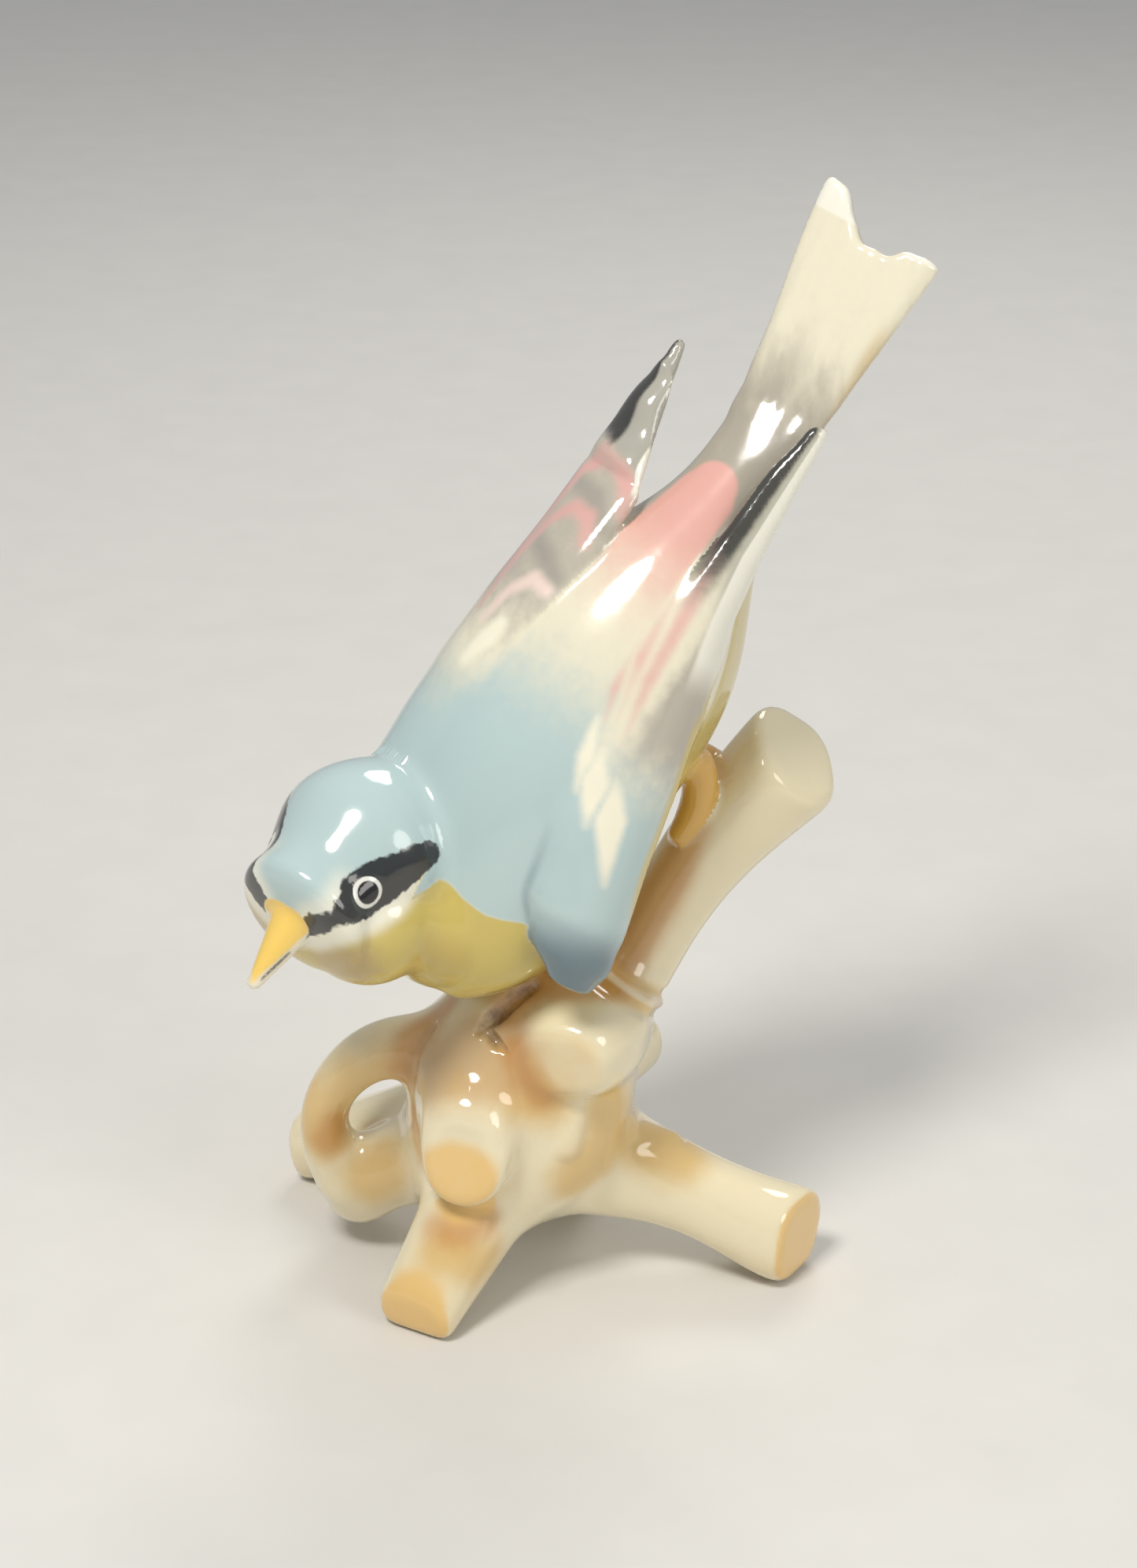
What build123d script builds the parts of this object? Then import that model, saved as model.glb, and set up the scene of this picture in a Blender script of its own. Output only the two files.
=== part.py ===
from build123d import *
from math import cos, pi, sin
import os

# A glazed porcelain songbird that leans head down on a sawn-off stump.
# The bird and the stump are slip cast as separate pieces, luted together with
# slip while they are leather hard, and glazed as one, so nothing moves.
# Millimetres, +Z up, the bird faces -X and its back is turned towards -Y.

# ---- Driving dimensions ----
BODY_WALL = 3.0
TRUNK_WALL = 4.6
VENT_DIAMETER = 6.0
HEAD_LENGTH = 22.6
HEAD_WIDTH = 19.4
SECTION_POINTS = 12
BACK_FULLNESS = 2.15
BELLY_FULLNESS = 2.5

# ---- The bird's own frame: X to the breast, Y to its left side, Z out of its back ----
BIRD = Plane(
    origin=(2.6, 6.0, 72.0),
    x_dir=(-0.479, -0.216, -0.850),
    z_dir=(-0.324, -0.857, 0.401),
)

# Body stations: along X, sideways centre, half width, height of back, depth of belly.
BODY_STATIONS = [
    (38.5, 1.2, 4.4, 2.8, 4.6),
    (35.5, 0.8, 8.2, 5.6, 8.4),
    (31.5, 0.3, 11.2, 8.0, 11.4),
    (26.0, 0.0, 12.9, 9.8, 13.8),
    (18.0, 0.0, 13.4, 11.5, 15.6),
    (8.0, 0.4, 13.6, 12.0, 16.2),
    (-1.0, 1.4, 12.9, 11.2, 14.8),
    (-9.0, 2.4, 10.2, 9.4, 12.0),
    (-17.0, 3.6, 6.4, 6.4, 7.4),
    (-25.0, 4.7, 4.9, 3.2, 3.9),
    (-31.0, 4.9, 4.6, 1.5, 1.9),
]
BODY_CAVITY = slice(2, 8)

# Head: the centre and the point where the beak starts.
HEAD_CENTRE = (29.6, -8.9, 9.2)
BEAK_ROOT = (37.3, -9.1, 16.3)
BEAK_TIP = (45.0, -8.7, 19.4)
BEAK_ROOT_RADIUS = 3.1
BEAK_TIP_RADIUS = 0.7
THROAT_CENTRE = (34.2, -5.0, 9.0)
THROAT_RADIUS = 7.4

# The crop: a full breast under the throat.
CROP_CENTRE = (29.9, -0.6, 0.4)
CROP_RADIUS = 9.6

# Wing stations: along X, inner edge (y, z), outer edge (y, z), bulge, thickness.
LEFT_WING_STATIONS = [
    (30.6, (14.2, 3.6), (17.2, 0.2), 0.4, 1.8),
    (28.0, (11.4, 6.0), (18.0, 0.0), 1.0, 3.0),
    (23.0, (8.9, 8.3), (17.6, 0.6), 1.6, 3.6),
    (16.0, (7.8, 9.6), (16.4, 1.2), 1.6, 3.4),
    (7.0, (7.0, 10.2), (15.2, 1.8), 1.5, 3.0),
    (-2.0, (7.0, 9.2), (13.5, 2.3), 1.2, 2.7),
    (-10.0, (7.4, 7.8), (12.1, 2.7), 0.8, 2.3),
    (-17.0, (7.8, 6.4), (11.6, 2.9), 0.4, 1.9),
    (-25.0, (8.4, 5.0), (11.4, 2.9), 0.2, 1.6),
    (-32.0, (9.7, 3.8), (11.3, 2.5), 0.1, 1.2),
]
RIGHT_WING_STATIONS = [
    (29.0, (-11.2, 4.2), (-13.4, 0.8), 0.3, 1.8),
    (26.0, (-9.4, 6.6), (-14.0, 0.4), 0.8, 2.8),
    (21.0, (-8.2, 8.6), (-14.1, 0.4), 1.2, 3.2),
    (14.0, (-7.0, 9.8), (-13.9, 0.8), 1.2, 3.0),
    (6.0, (-5.6, 10.6), (-13.3, 1.2), 1.2, 2.8),
    (-2.0, (-4.0, 10.2), (-12.3, 1.6), 1.1, 2.6),
    (-10.0, (-2.4, 8.8), (-11.0, 2.0), 0.9, 2.4),
    (-16.0, (-1.8, 7.2), (-10.2, 2.4), 0.6, 2.0),
    (-24.0, (-4.4, 4.7), (-9.2, 2.7), 0.3, 1.7),
    (-32.5, (-6.4, 3.6), (-7.8, 2.7), 0.2, 1.2),
]

# Tail stations: along X, sideways centre, height, half width, thickness.
TAIL_STATIONS = [
    (-18.0, 4.2, 0.0, 3.9, 3.6),
    (-24.0, 4.8, -0.2, 4.5, 3.2),
    (-33.0, 4.9, -0.2, 5.0, 2.4),
    (-43.0, 4.9, 0.0, 6.2, 1.9),
    (-56.0, 4.9, 0.4, 7.5, 1.5),
]
# Tail end, in plan: two rounded lobes either side of the fork.
TAIL_END = [
    (-14.0, -8.0),
    (-54.6, -4.4),
    (-54.6, -0.4),
    (-50.2, 3.6),
    (-50.2, 7.2),
    (-51.8, 9.0),
    (-51.8, 14.4),
    (-14.0, 16.0),
]
TAIL_LOBE_RADIUS = 1.4

# Trunk stations: height, centre (x, y), half width along X, half depth along Y.
TRUNK_STATIONS = [
    (6.5, (-8.0, 5.5), 6.6, 6.6),
    (10.0, (-7.2, 5.0), 9.6, 9.0),
    (16.0, (-5.8, 4.0), 11.9, 10.0),
    (23.0, (-5.0, 4.0), 12.5, 9.6),
    (30.0, (-4.0, 4.0), 11.4, 8.6),
    (35.0, (-2.5, 4.5), 8.6, 7.0),
    (38.0, (-1.5, 5.0), 5.2, 4.6),
]

# Limb stations: centre, direction of growth, half width, half height.
PERCH_BRANCH = [
    ((3.0, 5.0, 30.0), (0.45, 0.24, 0.85), 4.6, 4.6),
    ((7.5, 7.2, 36.2), (0.52, 0.26, 0.80), 4.1, 4.2),
    ((13.9, 10.4, 45.8), (0.55, 0.22, 0.78), 4.2, 4.7),
    ((19.8, 12.6, 52.4), (0.58, 0.08, 0.74), 5.1, 5.7),
    ((24.9, 13.2, 58.0), (0.66, -0.34, 0.66), 6.1, 6.0),
]
KNOT_STUB = [
    ((3.5, 4.0, 31.0), (-0.10, -0.98, 0.05), 5.4, 5.0),
    ((2.6, -0.5, 31.6), (-0.16, -0.98, 0.06), 6.2, 5.6),
    ((0.4, -5.0, 31.0), (-0.35, -0.92, -0.12), 5.6, 5.2),
    ((-0.5, -7.4, 30.8), (-0.35, -0.92, -0.12), 4.2, 3.9),
]
FRONT_STUB = [
    ((-9.6, 2.0, 24.0), (-0.15, -0.92, -0.35), 5.8, 5.8),
    ((-10.6, -5.0, 21.2), (-0.20, -0.85, -0.48), 5.5, 5.6),
    ((-11.4, -9.2, 18.6), (-0.22, -0.86, 0.20), 4.4, 4.4),
]
FRONT_ROOT = [
    ((-8.0, 2.0, 13.0), (-0.35, -0.70, -0.62), 6.2, 6.0),
    ((-11.8, -5.0, 8.4), (-0.40, -0.70, -0.58), 5.2, 4.8),
    ((-14.6, -8.6, 4.7), (-0.45, -0.68, -0.55), 4.8, 4.0),
    ((-16.9, -11.8, 1.8), (-0.48, -0.80, -0.10), 4.8, 3.0),
]
RIGHT_ROOT = [
    ((-1.0, 5.0, 14.5), (0.90, 0.05, -0.30), 6.0, 7.2),
    ((6.0, 4.6, 11.8), (0.95, -0.05, -0.32), 5.0, 6.0),
    ((12.5, 3.6, 9.6), (0.95, -0.14, -0.28), 4.4, 4.8),
    ((19.0, 2.2, 6.9), (0.93, -0.26, -0.22), 4.7, 4.8),
    ((25.9, 0.4, 5.0), (0.84, -0.54, -0.04), 5.3, 5.3),
]
LOOP_BRANCH = [
    ((-12.6, 4.0, 25.4), (-0.90, 0.02, 0.25), 4.4, 4.8),
    ((-19.4, 4.4, 26.6), (-0.94, 0.05, -0.30), 3.2, 3.3),
    ((-24.9, 5.0, 22.6), (-0.58, 0.10, -0.80), 2.8, 2.8),
    ((-27.0, 5.6, 17.2), (-0.08, 0.10, -0.99), 2.6, 2.7),
    ((-26.3, 6.6, 12.2), (0.16, 0.16, -0.97), 3.1, 3.1),
    ((-24.8, 7.4, 8.6), (0.20, 0.20, -0.96), 3.4, 3.4),
]
LEFT_ROOT = [
    ((-11.0, 5.0, 14.0), (-0.90, 0.15, -0.30), 5.0, 5.4),
    ((-18.0, 6.2, 11.2), (-0.86, 0.22, -0.40), 4.5, 4.7),
    ((-22.4, 7.6, 8.0), (-0.56, 0.36, -0.72), 4.4, 4.4),
    ((-24.0, 8.8, 5.0), (-0.30, 0.30, -0.90), 3.6, 3.6),
    ((-24.3, 9.2, 3.2), (-0.20, 0.25, -0.94), 2.0, 2.0),
]
REAR_LEFT_ROOT = [
    ((-10.0, 8.0, 16.0), (-0.70, 0.62, -0.36), 4.6, 4.8),
    ((-18.0, 13.6, 12.4), (-0.72, 0.56, -0.38), 4.0, 4.2),
    ((-25.4, 19.4, 6.8), (-0.76, 0.52, -0.40), 3.8, 4.1),
    ((-31.0, 23.6, 3.4), (-0.80, 0.46, -0.20), 3.6, 4.4),
]
REAR_RIGHT_STUB = [
    ((0.0, 8.0, 21.0), (0.55, 0.80, 0.02), 4.8, 4.8),
    ((5.0, 14.6, 20.6), (0.58, 0.80, -0.04), 4.2, 4.4),
    ((8.6, 19.6, 20.0), (0.66, 0.74, -0.02), 3.3, 3.4),
]
REAR_ROOT = [
    ((-4.0, 8.0, 14.0), (0.15, 0.82, -0.50), 5.4, 5.4),
    ((-2.0, 16.0, 8.6), (0.22, 0.78, -0.58), 4.8, 4.8),
    ((0.6, 22.4, 3.0), (0.25, 0.86, -0.30), 4.4, 4.4),
]

# Feet: a nub between the belly and the branch, tapering down the branch.
LEFT_FOOT = [
    ((13.4, 8.2, 59.8), (0.20, 0.10, -0.96), 1.6, 1.6),
    ((14.1, 8.7, 56.6), (-0.10, -0.02, -0.98), 1.9, 1.9),
    ((13.5, 8.8, 53.2), (-0.40, -0.14, -0.90), 1.9, 1.7),
    ((11.4, 8.2, 49.6), (-0.48, -0.18, -0.86), 1.3, 1.1),
]
RIGHT_FOOT = [
    ((10.9, 11.9, 58.8), (0.50, 0.75, -0.45), 1.8, 1.8),
    ((12.6, 14.6, 57.0), (0.66, 0.54, -0.50), 2.2, 2.1),
    ((15.2, 16.2, 55.2), (0.84, 0.20, -0.50), 2.2, 2.0),
    ((18.0, 16.2, 53.4), (0.80, -0.10, -0.60), 1.8, 1.5),
]

SQUARE_LIMB = 2.6
ROUND_LIMB = 2.2


def biggest(shape):
    """The largest solid of a shape, without the slivers that a cut can leave."""
    return max(shape.solids(), key=lambda solid: solid.volume)


def power_curve(angle, exponent):
    """One point of a unit superellipse, where an exponent of 2 is a circle."""
    along = abs(cos(angle)) ** (2.0 / exponent)
    across = abs(sin(angle)) ** (2.0 / exponent)
    return (along if cos(angle) >= 0 else -along, across if sin(angle) >= 0 else -across)


def ring_face(plane, right, up, down, exponent=2.0, centre=(0.0, 0.0), low_exponent=None):
    """A closed smooth outline on a plane, with its own half width, height and depth."""
    points = []
    for step in range(SECTION_POINTS):
        angle = 2 * pi * step / SECTION_POINTS
        power = exponent if low_exponent is None or angle <= pi else low_exponent
        x, y = power_curve(angle, power)
        height = up if y > 0 else down
        points.append(plane.from_local_coords((centre[0] + right * x, centre[1] + height * y, 0)))
    return Face(Wire(Spline(points, periodic=True)))


def cross_plane(at_x):
    """A plane across the bird at one station: its x runs left and its y out of the back."""
    origin = BIRD.from_local_coords((at_x, 0, 0))
    return Plane(origin=origin, x_dir=BIRD.y_dir, z_dir=BIRD.x_dir)


def body_loft(stations, inset=0.0):
    """The body's skin through its stations, drawn in by a wall thickness for the cavity."""
    faces = []
    for at_x, side, half, back, belly in stations:
        plane = cross_plane(at_x)
        sizes = (half - inset, back - inset, belly - inset)
        faces.append(ring_face(plane, *sizes, BACK_FULLNESS, (side, 0), BELLY_FULLNESS))
    return loft(faces)


def head_and_beak():
    """The skull is an egg that points along the beak, and the beak is a blunt cone."""
    centre = BIRD.from_local_coords(HEAD_CENTRE)
    root = BIRD.from_local_coords(BEAK_ROOT)
    tip = BIRD.from_local_coords(BEAK_TIP)
    axis = (root - centre).normalized()
    egg_plane = Plane(origin=centre, x_dir=axis, z_dir=BIRD.y_dir)
    half = HEAD_LENGTH / 2
    oval = Spline(
        (-half, 0),
        (-0.62 * half, 0.80 * HEAD_WIDTH / 2),
        (0.0, HEAD_WIDTH / 2),
        (0.62 * half, 0.76 * HEAD_WIDTH / 2),
        (half, 0),
        tangents=((0, 1), (0, -1)),
    )
    profile = make_face([oval, Line((half, 0), (-half, 0))])
    skull = egg_plane.location * revolve(profile, Axis.X, 360)
    direction = (tip - root).normalized()
    beak_plane = Plane(origin=root - direction * 2.0, z_dir=direction)
    length = (tip - root).length + 2.0
    middle = Plane(origin=beak_plane.origin + direction * length * 0.5, z_dir=direction)
    end = Plane(origin=tip, z_dir=direction)
    waist = 0.5 * (BEAK_ROOT_RADIUS + BEAK_TIP_RADIUS) - 0.1
    cone = loft(
        [
            ring_face(beak_plane, BEAK_ROOT_RADIUS, BEAK_ROOT_RADIUS, BEAK_ROOT_RADIUS),
            ring_face(middle, waist, waist, waist),
            ring_face(end, BEAK_TIP_RADIUS, BEAK_TIP_RADIUS, BEAK_TIP_RADIUS),
        ]
    )
    throat = Pos(*BIRD.from_local_coords(THROAT_CENTRE)) * Sphere(THROAT_RADIUS)
    return biggest(skull + throat + cone)


def with_thirds(stations):
    """The stations, and two more on the straight between each pair, so no loft can pinch."""
    flat = [(at_x, *inner, *outer, *sizes) for at_x, inner, outer, *sizes in stations]
    dense = []
    for first, second in zip(flat[:-1], flat[1:]):
        for share in (0.0, 1 / 3, 2 / 3):
            dense.append([a + (b - a) * share for a, b in zip(first, second)])
    dense.append(list(flat[-1]))
    return [(row[0], row[1:3], row[3:5], row[5], row[6]) for row in dense]


def wing(stations):
    """A thin shell that lies over the flank: a cambered blade at each station."""
    faces = []
    for at_x, inner, outer, bulge, thickness in with_thirds(stations):
        plane = cross_plane(at_x)
        start = Vector(inner[0], inner[1])
        chord = Vector(outer[0], outer[1]) - start
        out = Vector(-chord.Y, chord.X).normalized()
        if out.Y < 0:
            out = out * -1
        points = []
        for step in range(SECTION_POINTS):
            angle = 2 * pi * step / SECTION_POINTS
            along = 0.5 - 0.5 * cos(angle)
            lift = 4 * bulge * along * (1 - along) + 0.5 * thickness * sin(angle)
            point = start + chord * along + out * lift
            points.append(plane.from_local_coords((point.X, point.Y, 0)))
        faces.append(Face(Wire(Spline(points, periodic=True))))
    return biggest(loft(faces))


def tail():
    """A flat fan, trimmed to a forked end."""
    faces = []
    for at_x, side, height, half, thickness in TAIL_STATIONS:
        plane = cross_plane(at_x)
        outline = ring_face(plane, half, thickness / 2, thickness / 2, 3.0, (side, height))
        faces.append(outline)
    fan = loft(faces)
    plan = make_face(Polyline(*TAIL_END, close=True))
    rounded = fillet(plan.vertices(), TAIL_LOBE_RADIUS)
    blank = BIRD.location * extrude(rounded, 10.0, both=True)
    return biggest(fan & blank)


def limb(stations, exponent=SQUARE_LIMB):
    """A branch or root: outlines square to the growth, carried along without a twist.

    The last outline is the sawn end.
    """
    faces = []
    sideways = Vector(0, 0, 1).cross(Vector(*stations[0][1]))
    for centre, growth, half_width, half_height in stations:
        normal = Vector(*growth).normalized()
        sideways = (sideways - normal * sideways.dot(normal)).normalized()
        plane = Plane(origin=centre, x_dir=sideways, z_dir=normal)
        faces.append(ring_face(plane, half_width, half_height, half_height, exponent))
    return biggest(loft(faces))


def trunk_loft(stations, inset=0.0):
    """The stump's middle, with a level outline at each height."""
    faces = []
    for height, centre, half_width, half_depth in stations:
        plane = Plane(origin=(centre[0], centre[1], height))
        faces.append(ring_face(plane, half_width - inset, half_depth - inset, half_depth - inset, 2.3))
    return loft(faces)


def cut(shape, *tools):
    """A shape with its neighbours taken away, so that luted faces meet without overlap."""
    for tool in tools:
        shape = biggest(shape - tool)
    return shape


# ---- The bird ----
crop = Pos(*BIRD.from_local_coords(CROP_CENTRE)) * Sphere(CROP_RADIUS)
body_full = biggest(body_loft(BODY_STATIONS) + crop)
body_core = biggest(body_loft(BODY_STATIONS[BODY_CAVITY], BODY_WALL))
left_wing = wing(LEFT_WING_STATIONS)
right_wing = cut(wing(RIGHT_WING_STATIONS), left_wing)
body_outer = cut(body_full, left_wing, right_wing)
bird_head = cut(head_and_beak(), body_full, left_wing, right_wing)
tail_fan = cut(tail(), body_full, left_wing, right_wing)

# ---- The stump ----
ground = Pos(0, 0, -20) * Box(200, 200, 40)
trunk_full = cut(trunk_loft(TRUNK_STATIONS), body_full)
trunk_core = biggest(trunk_loft(TRUNK_STATIONS[1:6], TRUNK_WALL))
perch_full = cut(limb(PERCH_BRANCH), trunk_full, body_full, left_wing, right_wing)

roots = {}
grown = [trunk_full, perch_full]
for name, stations, exponent in [
    ("right_root", RIGHT_ROOT, SQUARE_LIMB),
    ("front_root", FRONT_ROOT, SQUARE_LIMB),
    ("knot_stub", KNOT_STUB, SQUARE_LIMB),
    ("front_stub", FRONT_STUB, ROUND_LIMB),
    ("left_root", LEFT_ROOT, ROUND_LIMB),
    ("loop_branch", LOOP_BRANCH, ROUND_LIMB),
    ("rear_left_root", REAR_LEFT_ROOT, ROUND_LIMB),
    ("rear_right_stub", REAR_RIGHT_STUB, ROUND_LIMB),
    ("rear_root", REAR_ROOT, ROUND_LIMB),
]:
    roots[name] = cut(limb(stations, exponent), ground, *grown)
    grown.append(roots[name])

# ---- Cavities that let the kiln's gases out ----
vent = Pos(TRUNK_STATIONS[0][1][0], TRUNK_STATIONS[0][1][1], 0) * Cylinder(VENT_DIAMETER / 2, 30)
trunk = cut(trunk_full, trunk_core, vent)
bird_body = cut(body_outer, body_core)

left_foot = cut(limb(LEFT_FOOT, ROUND_LIMB), body_full, left_wing, perch_full)
right_foot = cut(limb(RIGHT_FOOT, ROUND_LIMB), body_full, right_wing, perch_full)

pieces = {
    "bird_body": bird_body,
    "bird_head": bird_head,
    "left_wing": left_wing,
    "right_wing": right_wing,
    "tail": tail_fan,
    "left_foot": left_foot,
    "right_foot": right_foot,
    "trunk": trunk,
    "perch_branch": perch_full,
    **roots,
}

# ---- Origin at the middle of the footprint; the feet are already cut flat at height 0 ----
box = Compound(list(pieces.values())).bounding_box()
to_origin = Pos(-box.center().X, -box.center().Y, 0)

os.makedirs("parts", exist_ok=True)
for name, piece in pieces.items():
    export_step(to_origin * piece, f"parts/{name}.step")
print("size", box.size, "moved by", to_origin.position)
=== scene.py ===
import math

import bpy
import numpy as np
import openvdb as vdb
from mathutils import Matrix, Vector


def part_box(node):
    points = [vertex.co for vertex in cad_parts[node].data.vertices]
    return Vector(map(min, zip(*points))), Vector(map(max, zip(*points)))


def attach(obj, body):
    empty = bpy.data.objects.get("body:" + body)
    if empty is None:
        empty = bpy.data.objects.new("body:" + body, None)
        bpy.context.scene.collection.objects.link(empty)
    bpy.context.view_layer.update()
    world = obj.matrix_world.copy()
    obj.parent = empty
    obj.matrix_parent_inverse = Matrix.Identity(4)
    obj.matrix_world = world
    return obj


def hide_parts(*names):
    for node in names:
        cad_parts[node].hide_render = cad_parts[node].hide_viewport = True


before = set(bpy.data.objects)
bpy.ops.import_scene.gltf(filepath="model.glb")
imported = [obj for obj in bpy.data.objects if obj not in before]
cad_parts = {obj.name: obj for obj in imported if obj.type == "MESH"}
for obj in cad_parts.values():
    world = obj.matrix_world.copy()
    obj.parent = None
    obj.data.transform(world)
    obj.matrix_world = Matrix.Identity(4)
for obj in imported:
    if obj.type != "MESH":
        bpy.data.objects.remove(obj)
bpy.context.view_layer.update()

MM = 0.001

# ---- Skin resolution and the softness that the glaze gives every edge (millimetres) ----
VOXEL = 0.33
BAND = 10
BIRD_NODES = ["bird_body", "bird_head", "left_wing", "right_wing", "tail", "left_foot", "right_foot"]
STUMP_NODES = [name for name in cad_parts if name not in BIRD_NODES]
BIRD_FILLETS = {"tail": 1.6, "bird_head": 2.0, "left_wing": 1.0, "right_wing": 1.0}
FOOT_FILLET = 0.9
STUMP_FILLET = 2.6
LUTE_FILLET = 1.0
BURIED = {"right_foot": 0.3}
THICKENED = {"left_wing": 0.22, "right_wing": 0.26, "tail": 0.24}
# The right wing's thin tip keeps a rounded middle: x, y, z and radius in the bird's frame.
TIP_SPINES = {
    "right_wing": [(-20.0, -6.5, 3.7, 0.9), (-29.0, -6.9, 3.1, 1.15), (-32.4, -7.1, 2.9, 0.75)],
}
# Such a wing is slimmed too. The slimming grows to this much between two places along X.
TIP_START = -29.0
TIP_END = -32.0
TIP_SLIMMING = 1.6
BIRD_GLAZE = 0.33
STUMP_GLAZE = 0.75
# The step where the tail meets the body is rounded further, within a reach of its place.
TAIL_ROOT = (-30.5, 5.0, 0.5)
TAIL_ROOT_REACH = 7.0
TAIL_ROOT_ROUNDING = 0.9
# The skin is compared with itself rounded by this much, to find its hollows.
HOLLOW_SCALE = 2.0
# Stand-ins for a distance: far from every stroke or node, and off the painted area.
FAR = 1e3
UNPAINTED = 9


# ---------------------------------------------------------------- the bird's own frame
# X runs to the breast, Y to the bird's left side and Z out of its back, in millimetres.
FORWARD = np.array((-0.479, -0.216, -0.850))
BACK = np.array((-0.324, -0.857, 0.401))
LEFT = np.cross(BACK, FORWARD)
BODY_CORNER_TO_CENTRE = (24.55, 16.19, 35.68)
BODY_CORNER = np.array(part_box("bird_body")[0]) / MM
BIRD_CENTRE = BODY_CORNER + np.array(BODY_CORNER_TO_CENTRE)
# The stump's places are given from the point under the bird's centre.
STUMP_CENTRE = BIRD_CENTRE - np.array((2.6, 6.0, 72.0))
# The head turns about the beak: A runs to the beak, B out to its side and C to the crown.
HEAD_CENTRE = np.array((29.6, -8.9, 9.2))
HEAD_A = np.array((0.735, 0.0, 0.678))
HEAD_C = np.array((-0.670, -0.156, 0.726))
HEAD_B = np.cross(HEAD_C, HEAD_A)
FAR_SHIFT = 1.3


def bird_frame(points):
    """Points of the row frame, in the bird's own frame."""
    return (points - BIRD_CENTRE) @ np.array([FORWARD, LEFT, BACK]).T


def ramp(start, end, value):
    """Rises smoothly from 0 to 1 as value goes from start to end, which may be the smaller."""
    part = np.clip((value - start) / (end - start), 0, 1)
    return part * part * (3 - 2 * part)


def stroke(points, path):
    """Distance outside a tapered brush stroke, and the offset from its middle line.

    path is a list of (x, y, z, radius).
    """
    best = np.full(len(points), FAR)
    offset = np.zeros((len(points), 3))
    for first, second in zip(path[:-1], path[1:]):
        a, b = np.array(first[:3]), np.array(second[:3])
        along = np.clip((points - a) @ (b - a) / ((b - a) @ (b - a)), 0, 1)
        away = points - a - along[:, None] * (b - a)
        distance = np.linalg.norm(away, axis=1) - (first[3] + along * (second[3] - first[3]))
        nearer = distance < best
        best = np.where(nearer, distance, best)
        offset[nearer] = away[nearer]
    return best, offset


def strokes(points, paths):
    """Distance outside the nearest of several strokes."""
    return np.min([stroke(points, path)[0] for path in paths], axis=0)


def blob(points, centre, radius, softness):
    """A soft airbrushed patch: 1 inside the radius, fading over the softness."""
    distance = np.linalg.norm(points - np.array(centre), axis=1)
    return 1 - ramp(radius - softness / 2, radius + softness / 2, distance)


def head_frame(points):
    """Bird points in the head's frame, its far side folded over onto the near side.

    The far stripe lies a little further round the head than the near one.
    """
    place = (points - HEAD_CENTRE) @ np.array([HEAD_A, HEAD_B, HEAD_C]).T
    further = FAR_SHIFT * ramp(15.0, 10.0, place[:, 0])
    far = np.maximum(-place[:, 1] - further, 0)
    place[:, 1] = np.where(place[:, 1] > 0, place[:, 1], far)
    return place


# ---------------------------------------------------------------- skin geometry
def mesh_arrays(obj):
    """A CAD node's vertices in millimetres and its triangles."""
    mesh = obj.data
    mesh.calc_loop_triangles()
    points = np.empty(len(mesh.vertices) * 3, np.float32)
    mesh.vertices.foreach_get("co", points)
    triangles = np.empty(len(mesh.loop_triangles) * 3, np.int32)
    mesh.loop_triangles.foreach_get("vertices", triangles)
    return points.reshape(-1, 3) / MM, triangles.reshape(-1, 3).astype(np.uint32)


class Field:
    """A signed distance field in millimetres on a box of voxels."""

    def __init__(self, low, shape, values):
        self.low = np.array(low)
        self.shape = tuple(shape)
        self.values = values

    def sample(self, points):
        """Trilinear values at points in millimetres."""
        at = points / VOXEL - self.low
        at = np.clip(at, 0, np.array(self.shape) - 1.001)
        cell = np.floor(at).astype(int)
        part = at - cell
        total = np.zeros(len(points), np.float32)
        for corner in range(8):
            step = np.array([corner & 1, corner >> 1 & 1, corner >> 2 & 1])
            weight = np.prod(np.where(step, part, 1 - part), axis=1)
            i, j, k = (cell + step).T
            total += weight * self.values[i, j, k]
        return total


def node_field(name, obj):
    """The distance field of one closed CAD node, in its own small box."""
    points, triangles = mesh_arrays(obj)
    transform = vdb.createLinearTransform(voxelSize=VOXEL)
    grid = vdb.FloatGrid.createLevelSetFromPolygons(
        points, triangles=triangles, transform=transform, halfWidth=BAND
    )
    low = np.floor(points.min(0) / VOXEL).astype(int) - BAND - 2
    high = np.ceil(points.max(0) / VOXEL).astype(int) + BAND + 2
    values = np.full(high - low + 1, BAND * VOXEL, np.float32)
    grid.copyToArray(values, ijk=tuple(int(n) for n in low))
    values -= np.float32(THICKENED.get(name, 0.0))
    if name in TIP_SPINES:
        values = round_tip(values, low, TIP_SPINES[name])
    return Field(low, values.shape, values)


def round_tip(values, low, spine):
    """Slims a wing's last millimetres and fills the blade before them along a spine."""
    index = np.stack(np.meshgrid(*[np.arange(n) for n in values.shape], indexing="ij"), -1)
    place = bird_frame((index.reshape(-1, 3) + low) * VOXEL)
    slimmer = values + (TIP_SLIMMING * ramp(TIP_START, TIP_END, place[:, 0])).reshape(values.shape)
    filled, _ = stroke(place, spine)
    return np.minimum(slimmer, filled.reshape(values.shape)).astype(np.float32)


def smooth_min(a, b, radius):
    """The union of two fields with a fillet of about that radius where they meet."""
    mix = np.clip(0.5 + 0.5 * (b - a) / radius, 0, 1)
    return b * (1 - mix) + a * mix - radius * mix * (1 - mix)


def join(total, part, radius):
    """Adds a node's field to the whole one, inside the node's box only."""
    start = part.low - total.low
    cut = tuple(slice(s, s + n) for s, n in zip(start, part.shape))
    total.values[cut] = smooth_min(total.values[cut], part.values, radius)


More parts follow.
